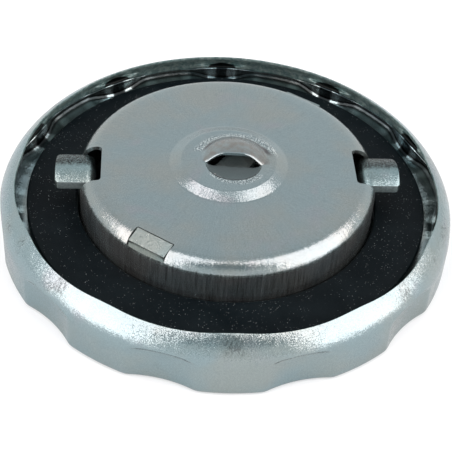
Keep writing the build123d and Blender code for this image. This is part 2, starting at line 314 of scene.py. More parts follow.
def fluted_radius(turn, z, skin=0.0, blend=SHELL_BLEND):
    """Radius of the shell's wall at a height, with its flutes, one skin inside its surface."""
    fade = FLUTE_FADE + skin
    rise = np.clip((z - ROLL_CENTRE) / fade, 0, 1)
    return flute_wall(turn, FLUTE_TOOL + skin - fade * (1 - np.sqrt(1 - rise**2)), z, skin, blend)


def ledge_radius(turn, z, skin=SHELL_SHEET, blend=SHELL_BLEND):
    """Radius of the shell's inner face, where each flute ends in a ledge."""
    rise = np.clip(1 - (LEDGE_TOP - z) / LEDGE_FALL, 0, 1)
    return flute_wall(turn, FLUTE_TOOL + skin - LEDGE_REACH * (1 - np.sqrt(1 - rise**2)), z, skin, blend)


def lip_radius(turn):
    """Radius of the rim's trimmed edge: eleven-sided, with rounded corners at the flutes."""
    a = np.abs(flute_angle(turn))
    half = math.pi / FLUTE_COUNT
    centre = (LIP_RADIUS - LIP_CORNER) / math.cos(half)
    reach = math.atan2(LIP_CORNER * math.sin(half), centre + LIP_CORNER * math.cos(half))
    corner = centre * np.cos(a) + np.sqrt(LIP_CORNER**2 - (centre * np.sin(a)) ** 2)
    return np.where(a < reach, corner, LIP_RADIUS / np.cos(half - a))


def make_shell(per_flute=60):
    """Fluted pressing with its rolled rim and trimmed lip, one sheet thick all over."""
    # the columns stand closest where a flute meets a lobe
    across = np.linspace(-1, 1, 2001)
    weight = np.cumsum(1 + 3 * np.exp(-((np.abs(across) - FLUTE_MEETS) / 0.10) ** 2))
    step = np.interp(np.linspace(0, weight[-1], per_flute, endpoint=False), weight, across)
    pitch = 2 * math.pi / FLUTE_COUNT
    turn = (FLUTE_PHASE + pitch * (np.arange(FLUTE_COUNT)[:, None] + step[None] / 2)).ravel()
    lip = lip_radius(turn)
    rings = Rings(turn)

    # outer face with its groove, rounded foot, fluted wall
    for r in (3.0, 10.0, 18.0, 25.0):
        rings.add(r, 0.0)
    middle = (GROOVE_INNER + GROOVE_OUTER) / 2
    half = (GROOVE_OUTER - GROOVE_INNER) / 2
    for r in np.linspace(GROOVE_INNER, GROOVE_OUTER, 13):
        rings.add(r, GROOVE_DEPTH * ease((half - abs(r - middle)) / GROOVE_EASE))
    foot = fluted_radius(turn, 0.0) - FACE_CORNER
    for t in (0.3, 0.6, 0.85):
        rings.add(GROOVE_OUTER + (foot - GROOVE_OUTER) * t, 0.0)
    for a in np.linspace(0, math.pi / 2, 9):
        rings.add(foot + FACE_CORNER * math.sin(a), FACE_CORNER * (1 - math.cos(a)))
    walls = np.linspace(FACE_CORNER, ROLL_CENTRE, 12)
    for z in walls[1:]:
        rings.add(fluted_radius(turn, z), z)

    # rolled rim up to the lip, the sheared edge, and back down the inside
    def roll_heights(skin, count):
        reach = (lip + EDGE_ROUND - SHELL_RADIUS + ROLL) / (ROLL - skin)
        end = np.arccos(reach)
        return [ROLL_CENTRE + (ROLL - skin) * np.sin(end * t) for t in np.linspace(0, 1, count)[1:]]

    outer = roll_heights(0.0, 40)
    inner = roll_heights(SHELL_SHEET, 20)
    ledge = np.linspace(LEDGE_TOP - LEDGE_FALL, LEDGE_TOP + 0.1, 16)
    for z in outer:
        rings.add(fluted_radius(turn, z), z)
    rings.add(lip + EDGE_ROUND / 3, outer[-1] - EDGE_ROUND / 4)
    rings.add(lip, outer[-1] - EDGE_ROUND)
    rings.add(lip, inner[-1] + EDGE_ROUND)
    rings.add(lip + EDGE_ROUND / 3, inner[-1] + EDGE_ROUND / 3)
    for z in [z for z in inner[::-1] if z.min() > ledge[-1]]:
        rings.add(ledge_radius(turn, z), z)
    for z in ledge[::-1]:
        rings.add(ledge_radius(turn, z), z)
    for z in walls[::-2]:
        rings.add(ledge_radius(turn, z), z)
    for a in np.linspace(math.pi / 2, 0, 4):
        r = foot + (FACE_CORNER - SHELL_SHEET) * math.sin(a)
        rings.add(r, FACE_CORNER - (FACE_CORNER - SHELL_SHEET) * math.cos(a))
    rings.add(GROOVE_OUTER + 1.5, SHELL_SHEET)
    for r in np.linspace(GROOVE_OUTER, GROOVE_INNER, 7):
        rings.add(r, SHELL_SHEET + GROOVE_DEPTH * ease((half - abs(r - middle)) / GROOVE_EASE))
    for r in (20.0, 3.0):
        rings.add(r, SHELL_SHEET)
    return lathe("shell", np.array(rings.rows), first=(0, 0, 0), last=(0, 0, SHELL_SHEET))


shell = make_shell()
smooth(shell, 40)
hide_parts("outer_shell")
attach(shell, "cap")


# ---------------------------------------------------------------- inner body
def fillet_path(corners, radii, steps=7):
    """Open outline (r, z) whose inner corners are rounded."""
    path = [np.array(corners[0], float)]
    for before, corner, after, radius in zip(corners, corners[1:], corners[2:], radii):
        before, corner, after = (np.array(p, float) for p in (before, corner, after))
        u = (before - corner) / np.linalg.norm(before - corner)
        v = (after - corner) / np.linalg.norm(after - corner)
        half = math.acos(np.clip(u @ v, -1, 1)) / 2
        bisector = (u + v) / np.linalg.norm(u + v)
        centre = corner + bisector * radius / math.sin(half)
        start = corner + u * radius / math.tan(half) - centre
        stop = corner + v * radius / math.tan(half) - centre
        sweep = math.acos(np.clip(start @ stop / radius**2, -1, 1))
        for t in np.linspace(0, 1, steps):
            spoke = math.sin((1 - t) * sweep) * start + math.sin(t * sweep) * stop
            path.append(centre + spoke / math.sin(sweep))
    path.append(np.array(corners[-1], float))
    return path


def divide(path, longest):
    """The outline with extra points where a run is longer than that."""
    points = [path[0]]
    for a, b in zip(path, path[1:]):
        count = max(1, math.ceil(np.linalg.norm(b - a) / longest))
        points += [a + (b - a) * k / count for k in range(1, count + 1)]
    return points


def make_body_skin(per_flute=52):
    """Cup, brim and crimped rim: the sheet from the boss's edge outwards, both faces."""
    columns = per_flute * FLUTE_COUNT
    turn = np.linspace(0, 2 * math.pi, columns, endpoint=False)
    corners = [
        (BOSS_INNER, BOSS_FACE), (BOSS_TOP, BOSS_FACE), (BOSS_BASE, CUP_TOP), (CUP_RADIUS, CUP_TOP),
        (CUP_RADIUS, BRIM_TOP), (BRIM_SPLIT, BRIM_TOP),
    ]
    radii = (BOSS_EDGE, BOSS_ROOT, CUP_CORNER, CUP_ROOT)
    top = np.array(divide(fillet_path(corners, radii, 9), 1.6))
    along = np.gradient(top, axis=0)
    along /= np.linalg.norm(along, axis=1)[:, None]
    under = top + BODY_SHEET * np.stack([along[:, 1], -along[:, 0]], -1)
    rings = Rings(turn)

    outside = fluted_radius(turn, ROLL_CENTRE, SHELL_SHEET + RIM_GAP, RIM_BLEND)
    pinched = lobe_radius(ROLL_CENTRE, SHELL_SHEET + RIM_GAP) - outside
    edge = RIM_HEIGHT + RIM_RISE * pinched
    inside = outside - RIM_SHEET
    flare = FLARE_SLOPE * (1 - np.exp(-((flute_angle(turn) / FLARE_SPREAD) ** 2)))
    foot = inside - RIM_CORNER
    low = BRIM_TOP + flare * (foot - FLARE_START)
    for r, z in top:
        rings.add(r, z)
    rings.add((BRIM_SPLIT + FLARE_START) / 2, BRIM_TOP)
    for t in np.linspace(0, 1, 7):
        r = FLARE_START + (foot - FLARE_START) * t
        rings.add(r, BRIM_TOP + flare * (r - FLARE_START) * ease(4 * t))
    for t in np.linspace(0, 1, 7)[1:]:
        rise = 2 * t * (1 - t) * flare + t**2
        rings.add(foot + RIM_CORNER * (1 - (1 - t) ** 2), low + RIM_CORNER * rise)
    for t in (0.33, 0.67, 1.0):
        rings.add(inside, low + RIM_CORNER + (edge - RIM_EDGE - low - RIM_CORNER) * t)
    middle = (inside + outside) / 2
    for a in np.linspace(0, math.pi, 9)[1:-1]:
        rings.add(middle - RIM_SHEET / 2 * math.cos(a), edge - RIM_EDGE * (1 - math.sin(a)))
    for t in (1.0, 0.5, 0.0):
        rings.add(outside, low + (edge - RIM_EDGE - low) * t)
    for t in np.linspace(0, 1, 5)[1:]:
        rings.add(outside + (foot - outside) * t, low - BODY_SHEET * ease(t))
    rings.add(FLARE_START, BRIM_TOP - BODY_SHEET)
    for r, z in under[::-1]:
        rings.add(r, z)
    rings.rows.append(rings.rows[0])
    return lathe("body", np.array(rings.rows))


def lid_height(x, y):
    """Height of the louvre's lid above the boss, from its slit backwards."""
    distance = np.hypot(x, y)
    back = np.divide(y, distance, out=np.zeros_like(y), where=distance > 0)
    reach = EYE_HALF_WIDTH + (EYE_LID_REACH - EYE_HALF_WIDTH) * np.clip(back, 0, 1) ** 0.8
    t = np.clip(distance / reach, 0, 1)
    return EYE_LID_HEIGHT * (1 - t**3) ** 1.4


def lip_height(x, y):
    """Height, below the boss, of the lip that is pushed in before the slit.

    Its hollow is steep at the slit's two ends and slopes evenly at the front.
    """
    distance = np.hypot(x, y)
    forward = np.divide(-y, distance, out=np.zeros_like(y), where=distance > 0)
    t = np.clip(np.hypot(x / EYE_HALF_WIDTH, y / EYE_LIP_REACH), 0, 1)
    return -EYE_LIP_DEPTH * (1 - t ** (8 - 6.2 * np.clip(forward, 0, 1) ** 0.6)) ** 1.3


def make_louvre_half(name, height, side, columns=73, steps=36):
    """Half of the boss face, behind (1) or before (-1) the slit, pressed to its height."""
    fan = np.linspace(0, math.pi, columns) * side
    across = np.stack([np.cos(fan), np.sin(fan)], -1)
    # from the slit's middle, each column runs out to the circle of BOSS_INNER round the cap's axis
    back = Matrix.Rotation(-EYE_TURN, 2) @ Vector(EYE)
    along = across @ np.array(back)
    edge = np.sqrt(along**2 - back.length_squared + BOSS_INNER**2) - along
    rows = [across * (edge * t)[:, None] for t in np.linspace(0, 1, steps + 1)[1:]]
    points = [(0.0, 0.0, float(height(np.zeros(1), np.zeros(1))[0]))]
    for xy in rows:
        points += [(x, y, z) for (x, y), z in zip(xy, height(xy[:, 0], xy[:, 1]))]
    faces = [(0, 1 + j, 2 + j) for j in range(columns - 1)]
    for i in range(steps - 1):
        for a in range(1 + i * columns, (i + 1) * columns):
            faces.append((a, a + columns, a + columns + 1, a + 1))
    if side < 0:
        faces = [tuple(reversed(f)) for f in faces]
    placed = [(*spun(x, y, EYE_TURN), z) for x, y, z in points]
    return new_piece(name, np.array(placed) + (*EYE, BOSS_FACE), faces)


def window_tools():
    """Blocks that stand where the lug windows and the bridge's two windows are."""
    depth = 2 * CUP_CORNER
    tools = []
    for side in (-1, 1):
        middle = side * (WINDOW_INNER + CUP_CORNER)
        lug = rounded_box((middle, WINDOW_SHIFT), (depth, WINDOW_WIDTH), WINDOW_ROUND)
        tools.append(prism("lug_window", lug, WINDOW_SILL, 2 * CUP_TOP))
    middle = TAB_INNER - TAB_GAP + CUP_CORNER
    size = (depth, BRIDGE_WIDTH + 2 * TAB_GAP)
    tab = rounded_box((-middle, BRIDGE_SHIFT), size, TAB_WINDOW_ROUND, BRIDGE_TURN, 2)
    tools.append(prism("tab_window", tab, TAB_SILL, 2 * CUP_TOP))
    end = rounded_box((middle, BRIDGE_SHIFT), size, TAB_WINDOW_ROUND, BRIDGE_TURN, 2)
    tools.append(prism("end_window", end, BRIDGE_UNDER - STRIP_CLEAR, CUP_CEILING + STRIP_CLEAR))
    return tools


def join(pieces, weld=False):
    """Joins meshes into the first one; weld merges points that coincide."""
    first = pieces[0]
    net = bmesh.new()
    for piece in pieces:
        net.from_mesh(piece.data)
    if weld:
        bmesh.ops.remove_doubles(net, verts=net.verts, dist=0.001 * MM)
    net.to_mesh(first.data)
    net.free()
    for piece in pieces[1:]:
        bpy.data.objects.remove(piece)
    return first


body = make_body_skin()
for tool in window_tools():
    cut(body, tool)
lid = make_louvre_half("lid", lid_height, 1)
lip = make_louvre_half("lip", lip_height, -1)
louvre = join([lid, lip], weld=True)
use_modifier(louvre, "SOLIDIFY", thickness=EYE_SHEET * MM, offset=-1.0)
body = join([body, louvre])
smooth(body, 35)
body.name = "cup_and_brim"
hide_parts("inner_body")
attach(body, "cap")


# ---------------------------------------------------------------- gasket
def make_gasket(columns=360):
    """Flat rubber ring whose upper edges are rounded."""
    edge = GASKET_EDGE
    outline = [(GASKET_INNER, BRIM_TOP)]
    outline += list(arc((GASKET_INNER + edge, SEAL - edge), edge, 180, 90, 6))
    outline += [(r, SEAL) for r in np.linspace(GASKET_INNER, GASKET_OUTER, 12)[1:-1]]
    outline += list(arc((GASKET_OUTER - edge, SEAL - edge), edge, 90, 0, 6))
    outline += [(GASKET_OUTER, BRIM_TOP), (GASKET_INNER, BRIM_TOP)]
    rings = Rings(np.linspace(0, 2 * math.pi, columns, endpoint=False))
    for r, z in outline:
        rings.add(r, z)
    return lathe("seal_ring", np.array(rings.rows))


seal = make_gasket()
smooth(seal, 50)
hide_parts("gasket")
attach(seal, "cap")


# ---------------------------------------------------------------- bayonet bar
def strip_path():
    """Middle of the strip's sheet from lug tip to lug tip, as (x, z), with steps close at the tips."""
    corners = [(-LUG_TIP, LUG_LEVEL), (-LEG_OFFSET, LUG_LEVEL), (-LEG_OFFSET, BAR_LEVEL),
               (LEG_OFFSET, BAR_LEVEL), (LEG_OFFSET, LUG_LEVEL), (LUG_TIP, LUG_LEVEL)]
    path = np.array(divide(fillet_path(corners, (LUG_BEND, LEG_BEND, LEG_BEND, LUG_BEND), 12), 0.5))
    near = LUG_TIP_ROUND * (1 - np.cos(np.linspace(0, math.pi / 2, 8)))
    left = np.stack([-LUG_TIP + near, np.full_like(near, LUG_LEVEL)], -1)
    right = np.stack([LUG_TIP - near[::-1], np.full_like(near, LUG_LEVEL)], -1)
    return np.vstack([left, path[np.abs(path[:, 0]) < LUG_TIP - LUG_TIP_ROUND], right])


def strip_section():
    """Outline (y, height) across the strip, arched and worn round at its four edges."""
    inset = LUG_WIDTH / 2 - STRIP_ROUND
    skin = LUG_SHEET / 2
    side = skin - STRIP_ROUND
    across = np.linspace(-1, 1, 25)
    crown = LUG_CROWN * (1 - across**2)
    corner = [(STRIP_ROUND * math.sin(a), STRIP_ROUND * math.cos(a)) for a in np.linspace(0, math.pi / 2, 4)]
    section = [(inset * t, c - skin) for t, c in zip(across, crown)]
    section += [(inset + u, -side - v) for u, v in corner[1:]]
    section += [(inset + v, side + u) for u, v in corner]
    section += [(inset * t, c + skin) for t, c in zip(across[::-1], crown[::-1])][1:]
    section += [(-inset - u, side + v) for u, v in corner[1:]]
    section += [(-inset - v, -side - u) for u, v in corner[:-1]]
    return np.array(section)


def make_bayonet_bar():
    """Arched strip swept along its bends, worn round at the edges, with rounded lug tips."""
    path = strip_path()
    section = strip_section()
    along = np.gradient(path, axis=0)
    along /= np.linalg.norm(along, axis=1)[:, None]
    up = np.stack([-along[:, 1], along[:, 0]], -1)
    half = LUG_WIDTH / 2
    bulge = LUG_CROWN * np.clip(1 - (section[:, 0] / (half - STRIP_ROUND)) ** 2, 0, 1)
    rings = []
    for (x, z), (ux, uz) in zip(path, up):
        # the arch fades out where a lug bends down into its leg
        flat = ease((LUG_ARCH_FULL - abs(x)) / LUG_ARCH_FADE) if z > LEG_FOOT else 0.0
        height = section[:, 1] - flat * bulge
        from_round = max(LUG_TIP_ROUND - LUG_TIP + abs(x), 0.0)
        trim = LUG_TIP_ROUND - math.sqrt(max(LUG_TIP_ROUND**2 - from_round**2, 0.0))
        y = section[:, 0] * (half - trim) / half
        rings.append(np.stack([x + ux * height, y, z + uz * height], -1))
    tip_height = LUG_LEVEL + LUG_CROWN / 2
    return lathe("lug_strip", np.array(rings), first=(-LUG_TIP, 0, tip_height), last=(LUG_TIP, 0, tip_height))


bar = make_bayonet_bar()
smooth(bar, 40)
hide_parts("bayonet_bar")
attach(bar, "bayonet")


# ---------------------------------------------------------------- spring
def make_spring(per_turn=48, sides=16):
    """Conical spring from the bar's crest to the bridge."""
    foot = BAR_CREST + SPRING_WIRE / 2 + SPRING_GAP
    rise = BRIDGE_UNDER - SPRING_WIRE / 2 - foot
    round_wire = np.linspace(0, -2 * math.pi, sides, endpoint=False)
    rings = []
    for t in np.linspace(0, 1, int(per_turn * SPRING_TURNS) + 1):
        turn = 2 * math.pi * SPRING_TURNS * t
        radius = SPRING_FOOT_RADIUS + (SPRING_TOP_RADIUS - SPRING_FOOT_RADIUS) * t
        out = radius + SPRING_WIRE / 2 * np.cos(round_wire)
        z = foot + rise * t + SPRING_WIRE / 2 * np.sin(round_wire)
        rings.append(np.stack([out * math.cos(turn), out * math.sin(turn), z], -1))
    rings = np.array(rings)
    return lathe("coil", rings, first=rings[:1].mean(axis=1), last=rings[-1:].mean(axis=1))


coil = make_spring()
smooth(coil, 50)
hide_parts("lug_spring")
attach(coil, "cap")
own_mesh(coil)


# ---------------------------------------------------------------- node helpers
class Nodes:
    """Short way to build a node tree."""

    def __init__(self, tree):
        self.tree = tree

    def add(self, kind, **settings):
        node = self.tree.nodes.new(kind)
        for key, value in settings.items():
            setattr(node, key, value)
        return node

    def feed(self, node, name, value):
        """A socket gets a constant or another node's output."""
        if isinstance(value, bpy.types.NodeSocket):
            self.tree.links.new(value, node.inputs[name])
        else:
            node.inputs[name].default_value = value

    def math(self, operation, a, b=0.0, c=0.0):
        node = self.add("ShaderNodeMath", operation=operation)
        for index, value in enumerate((a, b, c)):
            self.feed(node, index, value)
        return node.outputs[0]

    def times(self, first, *others):
        """Product of all the values."""
        for value in others:
            first = self.math("MULTIPLY", first, value)
        return first

    def length(self, x, y):
        """Distance of the point (x, y) from zero."""
        return self.math("SQRT", self.math("ADD", self.times(x, x), self.times(y, y)))

    def remap(self, value, low, high, to_low=0.0, to_high=1.0):
        """Smooth change from one level to the other while the value goes from low to high."""
        node = self.add("ShaderNodeMapRange", interpolation_type="SMOOTHSTEP")
        for name, item in (("Value", value), ("From Min", low), ("From Max", high),
                           ("To Min", to_low), ("To Max", to_high)):
            self.feed(node, name, item)
        return node.outputs["Result"]

    def fall(self, value, low, high):
        """1 below low and 0 above high."""
        return self.remap(value, low, high, 1.0, 0.0)

    def between(self, value, low, full, waning, gone):
        """1 from full to waning, 0 below low and above gone."""
        return self.times(self.remap(value, low, full), self.fall(value, waning, gone))

    def mix(self, factor, a, b, blend="MIX"):
        """Two colours blended: a where the factor is 0."""
        node = self.add("ShaderNodeMix", data_type="RGBA", blend_type=blend)
        self.feed(node, "Factor", factor)
        for index, value in ((6, a), (7, b)):
            self.feed(node, index, (*value, 1.0) if isinstance(value, tuple) else value)
        return node.outputs[2]

    def darken(self, factor, colour, level):
        """Colour times a level where the factor is 1."""
        return self.mix(factor, colour, (level, level, level), "MULTIPLY")

    def ramp(self, value, stops):
        """Colours blended along a value."""
        node = self.add("ShaderNodeValToRGB")
        self.feed(node, 0, value)
        elements = node.color_ramp.elements
        for element, (position, colour) in zip(elements, (stops[0], stops[-1])):
            element.position = position
            element.color = (*colour, 1)
        for position, colour in stops[1:-1]:
            elements.new(position).color = (*colour, 1)
        return node.outputs[0]

    def split(self, vector):
        node = self.add("ShaderNodeSeparateXYZ")
        self.feed(node, 0, vector)
        return node.outputs

    def combine(self, x, y, z):
        node = self.add("ShaderNodeCombineXYZ")
        for index, value in enumerate((x, y, z)):
            self.feed(node, index, value)
        return node.outputs[0]

    def vector(self, operation, a, b=(0.0, 0.0, 0.0), output="Vector"):
        node = self.add("ShaderNodeVectorMath", operation=operation)
        self.feed(node, 0, a)
        self.feed(node, 1, b)
        return node.outputs[output]

    def scale(self, vector, amount):
        node = self.add("ShaderNodeVectorMath", operation="SCALE")
        self.feed(node, 0, vector)
        self.feed(node, "Scale", amount)
        return node.outputs[0]


class Paint(Nodes):
    """A node material on the Principled shader, in the object's own coordinates."""

    def __init__(self, name):
        self.material = bpy.data.materials.new(name)
        self.material.use_nodes = True
        super().__init__(self.material.node_tree)
        self.shader = self.tree.nodes["Principled BSDF"]
        coordinates = self.add("ShaderNodeTexCoord")
        self.place = coordinates.outputs["Object"]
        self.facing = coordinates.outputs["Normal"]

    def set(self, name, value):
        self.feed(self.shader, name, value)

    def noise(self, scale, detail=2.0, roughness=0.5, at=None, distortion=0.0, output="Fac"):
        node = self.add("ShaderNodeTexNoise")
        self.feed(node, "Vector", self.place if at is None else at)
        self.feed(node, "Scale", scale)
        self.feed(node, "Detail", detail)
        self.feed(node, "Roughness", roughness)
        self.feed(node, "Distortion", distortion)
        return node.outputs[output]

    def wander(self, scale, amount):
        """A small amount to either side of zero."""
        return self.times(self.math("SUBTRACT", self.noise(scale, 3, 0.6), 0.5), amount)

    def bump(self, height, distance, strength):
        node = self.add("ShaderNodeBump")
        self.feed(node, "Height", height)
        self.feed(node, "Distance", distance)
        self.feed(node, "Strength", strength)
        return node.outputs["Normal"]

    def tilt(self, amount, scale, at=None, under=None):
        """Surface normal nudged by a fine noise, so that single grains catch the light."""
        noise = self.noise(scale, 2.0, 0.6, at=at, output="Color")
        nudge = self.scale(self.vector("SUBTRACT", noise, (0.5, 0.5, 0.5)), amount)
        normal = self.add("ShaderNodeNewGeometry").outputs["Normal"] if under is None else under
        return self.vector("NORMALIZE", self.vector("ADD", normal, nudge))

    def around(self, stretch):
        """Coordinates that run round the cap: fine across, drawn out up the wall by stretch."""
        x, y, z = self.split(self.place)
        length = self.times(self.math("ARCTAN2", y, x), AROUND_RADIUS)
        return self.combine(length, self.times(self.length(x, y), stretch), self.times(z, stretch))

    def ring_place(self):
        """Angle from the nearest flute, radius and height, in radians and millimetres."""
        x, y, z = self.split(self.place)
        turn = self.math("SUBTRACT", self.math("ARCTAN2", y, x), FLUTE_PHASE)
        half = math.pi / FLUTE_COUNT
        near = self.math("ABSOLUTE", self.math("WRAP", turn, half, -half))
        return near, self.math("DIVIDE", self.length(x, y), MM), self.math("DIVIDE", z, MM)

    def eye_place(self):
        """Place (x, y) from the middle of the louvre's slit, in millimetres, and z in metres."""
        x, y, z = self.split(self.place)
        x, y = (self.math("SUBTRACT", self.math("DIVIDE", value, MM), middle)
                for value, middle in ((x, EYE[0]), (y, EYE[1])))
        return x, y, z


# ---------------------------------------------------------------- colours, marks and painted light
AROUND_RADIUS = 0.035           # in metres: where a length round the cap is true

COOL = (0.258, 0.324, 0.338)    # zinc plate, and the olive and lilac clouds in it
OLIVE = (0.288, 0.322, 0.314)
LILAC = (0.294, 0.318, 0.338)
SHELL_LEVEL = (1.03, 1.09, 1.10)
LUG_TINT = (0.88, 0.98, 0.98)
BRIDGE_TINT = (0.80, 0.85, 0.83)
SPRING_TINT = (0.8, 0.8, 0.8)
PLATE_METALLIC = 0.92
TEAL_DARK = (0.11, 0.19, 0.19)  # inside of the shell
TEAL_PALE = (0.30, 0.40, 0.385)
LID_GREY = (0.205, 0.205, 0.195)
# painted shade in the crease behind the louvre's lid, and in the hollow before its slit
CREASE_SHADE = (0.085, 0.076, 0.080)
BOWL_SHADE = (0.115, 0.158, 0.165)
# painted glints and dark specks of grain round the louvre
SPECK_GLINT = (0.62, 0.68, 0.68)
SPECK_SHADE = (0.12, 0.13, 0.13)
TORN_STEEL = (0.13, 0.17, 0.175)

SLOT_RADIUS = 44.0              # where the painted shade in the slot over the crimped rim is measured round the cap
SLOT_OUT = 0.68                 # a place up the shell's curved inside is SLOT_OUT r + SLOT_UP z
SLOT_UP = 0.74
SLOT_MIDDLE = SLOT_UP * (SEAL + 0.45) + SLOT_OUT * 43.0
SLOT_HALF_WIDTH = 3.3
SLOT_HALF_HEIGHT = 1.15
# painted shade and painted highlights on the crimped rim, as brightness from the middle of a flute (0) to the
# middle of a lobe (1)
CRIMP_SHADE_AND_HIGHLIGHT_STOPS = (
    (0.0, (0.13, 0.16, 0.17)), (0.09, (0.16, 0.19, 0.20)),
    (0.14, (1.5, 1.65, 1.68)), (0.24, (1.4, 1.55, 1.58)),
    (0.31, (0.40, 0.45, 0.46)), (0.54, (0.44, 0.50, 0.51)),
    (0.62, (1.2, 1.3, 1.32)), (0.70, (1.1, 1.2, 1.22)),
    (0.78, (0.60, 0.66, 0.67)), (1.0, (0.80, 0.86, 0.88)),
)


def facing_in(paint, low=-0.75, high=-0.25):
    """1 where a surface faces the cap's axis."""
    x, y, _ = paint.split(paint.place)
    outward = paint.vector("NORMALIZE", paint.combine(x, y, 0.0))
    return paint.fall(paint.vector("DOT_PRODUCT", outward, paint.facing, output="Value"), low, high)


def slot_shadow(paint, colour):
    """Shell: scuffs on its roll, a mottled inside, and painted shade in the slot over the rim at each flute.
    """
    near, radius, height = paint.ring_place()
    across = paint.math("DIVIDE", paint.times(near, SLOT_RADIUS), SLOT_HALF_WIDTH)
    level = paint.math("ADD", paint.times(height, SLOT_UP), paint.times(radius, SLOT_OUT))
    upward = paint.math("DIVIDE", paint.math("SUBTRACT", level, SLOT_MIDDLE), SLOT_HALF_HEIGHT)
    away = paint.math("ADD", paint.times(across, across), paint.times(upward, upward))

    patches = paint.remap(paint.noise(150, 2, 0.5), 0.58, 0.68)
    lines = paint.remap(paint.noise(2600, 4, 0.8, at=paint.around(0.5)), 0.44, 0.60)
    upturned = paint.remap(paint.split(paint.facing)[2], 0.35, 0.65)
    colour = paint.darken(paint.times(patches, lines, upturned), colour, 0.50)

    mottle = paint.remap(paint.noise(900, 4, 0.7, distortion=0.5), 0.36, 0.66)
    inside = facing_in(paint, -0.30, 0.0)
    colour = paint.mix(inside, colour, paint.mix(mottle, TEAL_DARK, TEAL_PALE))

    # painted shade in the slot over the rim at each flute
    slot = paint.times(paint.fall(away, 0.8, 1.05), paint.fall(radius, 44.40, 44.47))
    slot = paint.times(slot, paint.remap(height, 8.25, 8.45))
    return paint.darken(slot, colour, 0.03)


def crimp_light_and_louvre(paint, colour):
    """Inner body: painted shade at each flute and painted highlights beside it on the crimped rim, and
    painted shade in the corner at the rim's foot.
    """
    near, radius, height = paint.ring_place()
    near = paint.math("ADD", near, paint.wander(330, 0.05))
    # painted shade at each flute and painted highlights beside it, round the crimped rim
    rim_light = paint.ramp(paint.times(near, FLUTE_COUNT / math.pi), CRIMP_SHADE_AND_HIGHLIGHT_STOPS)
    colour = paint.mix(paint.remap(radius, 39.9, 41.0), colour, rim_light, "MULTIPLY")

    up = paint.split(paint.facing)[2]
    # painted shade in the corner at the rim's foot, lifted where the painted highlight beside each flute
    # falls
    corner = paint.times(paint.between(up, 0.10, 0.35, 0.93, 0.99), paint.fall(height, 7.2, 7.5))
    corner = paint.times(corner, paint.remap(radius, 40.2, 40.8))
    pale = paint.between(near, 0.030, 0.040, 0.068, 0.080)
    corner = paint.times(corner, paint.math("SUBTRACT", 1.0, paint.times(pale, 0.7)))
    return louvre_lid_shade_and_glints(paint, paint.darken(corner, colour, 0.22))


def louvre_bowl(paint):
    """1 in the hollow that is pushed in before the louvre's slit."""
    x, y, z = paint.eye_place()
    low = paint.fall(z, (BOSS_FACE - 0.20) * MM, (BOSS_FACE - 0.02) * MM)
    return paint.times(paint.fall(paint.length(x, y), 5.7, 6.1), low)


def louvre_lid_shade_and_glints(paint, colour):
    """Round the louvre: a grey lid, painted shade in a stretched crease behind its lid and in the hollow
    before its slit, and painted glints and dark specks about it.
    """
    x, y, z = paint.eye_place()
    c, s = math.cos(EYE_TURN), math.sin(EYE_TURN)
    across = paint.math("ADD", paint.times(x, c), paint.times(y, s))
    along = paint.math("SUBTRACT", paint.times(y, c), paint.times(x, s))
    # far is 1 on an ellipse round the louvre, a little wider to the right
    right = paint.math("DIVIDE", across, 6.6)
    far = paint.length(right, paint.math("DIVIDE", along, 7.0))
    far = paint.math("ADD", far, paint.wander(800, 0.10))
    far = paint.math("SUBTRACT", far, paint.times(paint.math("MAXIMUM", right, 0.0), 0.14))
    on_boss = paint.remap(z, (BOSS_FACE - 0.5) * MM, (BOSS_FACE - 0.2) * MM)
    behind = paint.times(paint.remap(along, 2.6, 4.2), on_boss)

    clouds = paint.remap(paint.noise(700, 4, 0.65), 0.35, 0.65, 0.4, 1.0)
    lid = paint.times(paint.fall(far, 0.86, 0.96), paint.remap(along, 0.1, 0.5), on_boss, clouds)
    colour = paint.mix(lid, colour, LID_GREY)
    # painted shade in the crease behind the lid
    crease = paint.between(far, 0.90, 0.97, 1.03, 1.10)
    colour = paint.mix(paint.times(crease, behind, 0.85), colour, CREASE_SHADE)
    # painted shade in the hollow before the slit, under the lid
    colour = paint.mix(louvre_bowl(paint), colour, BOWL_SHADE)

    # painted glints and dark specks of grain in a band round the louvre
    band = paint.times(paint.between(far, 1.06, 1.12, 1.26, 1.40), behind)
    before = paint.times(paint.between(far, 0.64, 0.70, 0.82, 0.90), paint.fall(along, -3.2, -2.6))
    band = paint.times(paint.math("ADD", band, before), on_boss)
    grain = paint.noise(3400, 2, 0.7)
    colour = paint.mix(paint.times(band, paint.remap(grain, 0.52, 0.60)), colour, SPECK_GLINT)
    return paint.mix(paint.times(band, paint.fall(grain, 0.40, 0.48), 0.6), colour, SPECK_SHADE)


def sheared_edges(paint, colour):
    """Lug strip: torn front and back faces, darker towards the far edge of each lug."""
    y = paint.split(paint.place)[1]
    uneven = paint.math("ADD", y, paint.times(paint.noise(900, 3, 0.6), 0.0016))
    speckle = paint.remap(paint.noise(3000, 2, 0.6), 0.40, 0.60, 0.55, 1.0)
    # darker towards the far edge of each lug
    far_darkening = paint.times(paint.remap(uneven, 0.0002, 0.0018), speckle)
    colour = paint.darken(far_darkening, colour, 0.04)
    patches = paint.remap(paint.noise(2200, 3, 0.7), 0.35, 0.65, 0.5, 1.0)
    return paint.mix(paint.times(torn_face(paint), patches), colour, TORN_STEEL)


def torn_face(paint):
    """1 on the long sheared faces of a strip that runs along x."""
    return paint.remap(paint.math("ABSOLUTE", paint.split(paint.facing)[1]), 0.80, 0.95)


def bridge_strip(paint):
    """1 on the part of the bridge that lies inside the cup."""
    return paint.fall(paint.ring_place()[1], 20.0, 23.0)


